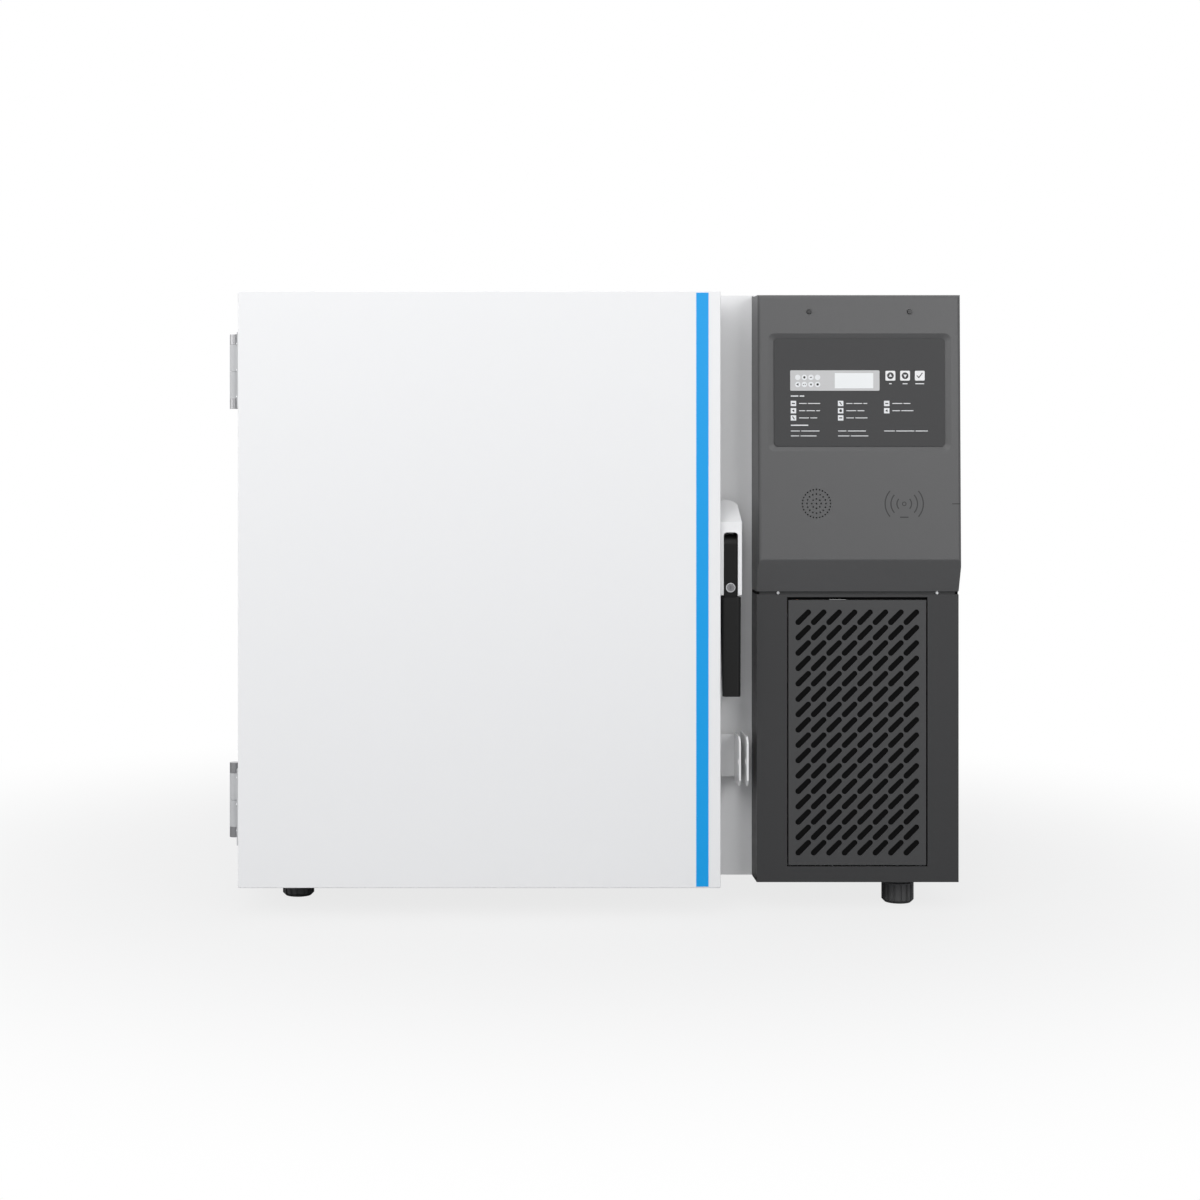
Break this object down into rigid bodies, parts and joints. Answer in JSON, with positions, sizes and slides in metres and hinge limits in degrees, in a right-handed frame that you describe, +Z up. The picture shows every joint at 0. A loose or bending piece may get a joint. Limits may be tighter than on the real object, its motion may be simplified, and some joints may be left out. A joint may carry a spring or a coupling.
{
  "type": "ultra low temperature freezer",
  "caption": "Under-counter laboratory freezer: latched side-hinged door, foam-insulated chamber with shelves, and a cooling compartment beside it with control hood and tilting grille.",
  "frame": {"origin": "on the floor under the middle of the overall outline, feet screwed in", "axes": "+X to the right seen from the front, +Y to the back, +Z up; the door faces -Y"},
  "size_m": [0.972, 0.724, 0.82],
  "materials": {
    "white_paint": "satin",
    "foam": "matte",
    "stainless": "satin",
    "galvanised": "satin",
    "pale_plastic": "satin",
    "housing_plastic": "satin",
    "blue_stripe": "gloss",
    "gasket": "matte",
    "black_rubber": "matte",
    "black_plastic": "satin",
    "hood_plastic": "matte",
    "dark_paint": "satin",
    "grille_paint": "satin",
    "membrane": "satin",
    "window": "gloss",
    "key": "satin",
    "chrome": "polished",
    "bracket_steel": "satin",
    "copper": "satin",
    "aluminium": "satin",
    "black_paint": "satin",
    "filter_mat": "matte",
    "board": "satin"
  },
  "bodies": {
    "cabinet": {"outer_shell": "white_paint", "cabinet_foam": "foam", "inner_liner": "stainless", "breaker_frame": "pale_plastic", "evaporator_coil": "copper", "shelves": "stainless", "access_port": "pale_plastic", "port_stopper": "black_rubber", "base_pan": "galvanised", "rear_spacers": "black_plastic", "hinge_cabinet_leaves": "bracket_steel", "hinge_pins": "bracket_steel", "latch_keeper": "galvanised", "hasp_cabinet": "bracket_steel", "front_frame": "dark_paint", "control_hood": "hood_plastic", "membrane_panel": "membrane", "display_window": "window", "hood_screws": "black_paint", "lower_screws": "chrome", "speaker": "black_plastic", "control_boards": "board", "usb_port": "chrome", "side_cover": "white_paint", "rear_cover": "galvanised", "power_inlet": "black_plastic", "switch_body": "black_plastic", "condenser": "aluminium", "fan_shroud": "galvanised", "fan_motor": "black_paint", "compressors": "black_paint", "compressor_mounts": "black_rubber", "cascade_exchanger": "foam", "refrigerant_pipes": "copper", "component_shelf": "galvanised", "backup_battery": "black_plastic"},
    "outer_door": {"door_skin": "white_paint", "door_foam": "foam", "door_liner": "pale_plastic", "door_gasket": "gasket", "door_stripe": "blue_stripe", "handle_housing": "housing_plastic", "lever_pin": "galvanised", "hinge_door_leaves": "bracket_steel", "hasp_door": "bracket_steel"},
    "handle_lever": {"handle_lever": "black_plastic", "lock_ring": "chrome", "latch_hook": "galvanised"},
    "lock_cylinder": {"lock_cylinder": "chrome"},
    "grille": {"grille_panel": "grille_paint", "air_filter": "filter_mat"},
    "fan": {"fan_blade": "aluminium"},
    "key_up": {"key_up": "key"},
    "key_down": {"key_down": "key"},
    "key_confirm": {"key_confirm": "key"},
    "switch_rocker": {"switch_rocker": "black_plastic"},
    "foot_front_left": {"foot_front_left": "black_rubber"},
    "foot_front_right": {"foot_front_right": "black_rubber"},
    "foot_rear_left": {"foot_rear_left": "black_rubber"},
    "foot_rear_right": {"foot_rear_right": "black_rubber"}
  },
  "joints": [
    {"name": "door_hinge", "type": "hinge", "parent": "cabinet", "child": "outer_door", "pos_m": [-0.479, -0.276, 0.4], "axis": [0, 0, -1], "range_deg": [0, 110]},
    {"name": "lever_pivot", "type": "hinge", "parent": "outer_door", "child": "handle_lever", "pos_m": [0.18, -0.332, 0.488], "axis": [-1, 0, 0], "range_deg": [0, 35]},
    {"name": "lock_turn", "type": "hinge", "parent": "handle_lever", "child": "lock_cylinder", "pos_m": [0.18, -0.332, 0.4308], "axis": [0, 1, 0], "range_deg": [0, 90]},
    {"name": "grille_tilt", "type": "hinge", "parent": "cabinet", "child": "grille", "pos_m": [0.3515, -0.315, 0.0648], "axis": [1, 0, 0], "range_deg": [0, 40]},
    {"name": "fan_spin", "type": "hinge", "parent": "cabinet", "child": "fan", "pos_m": [0.352, -0.24, 0.223], "axis": [0, 1, 0], "continuous": true},
    {"name": "switch_rock", "type": "hinge", "parent": "cabinet", "child": "switch_rocker", "pos_m": [0.382, 0.337, 0.178], "axis": [1, 0, 0], "range_deg": [0, 18]},
    {"name": "key_up_press", "type": "slide", "parent": "cabinet", "child": "key_up", "axis": [0, 0.9997, -0.0228], "range_m": [0, 0.0004], "stiffness_N_per_m": 1500},
    {"name": "key_down_press", "type": "slide", "parent": "cabinet", "child": "key_down", "axis": [0, 0.9997, -0.0228], "range_m": [0, 0.0004], "stiffness_N_per_m": 1500},
    {"name": "key_confirm_press", "type": "slide", "parent": "cabinet", "child": "key_confirm", "axis": [0, 0.9997, -0.0228], "range_m": [0, 0.0004], "stiffness_N_per_m": 1500},
    {"name": "foot_front_left_thread", "type": "slide", "parent": "cabinet", "child": "foot_front_left", "axis": [0, 0, -1], "range_m": [0, 0.012]},
    {"name": "foot_front_right_thread", "type": "slide", "parent": "cabinet", "child": "foot_front_right", "axis": [0, 0, -1], "range_m": [0, 0.012]},
    {"name": "foot_rear_left_thread", "type": "slide", "parent": "cabinet", "child": "foot_rear_left", "axis": [0, 0, -1], "range_m": [0, 0.012]},
    {"name": "foot_rear_right_thread", "type": "slide", "parent": "cabinet", "child": "foot_rear_right", "axis": [0, 0, -1], "range_m": [0, 0.012]}
  ]
}
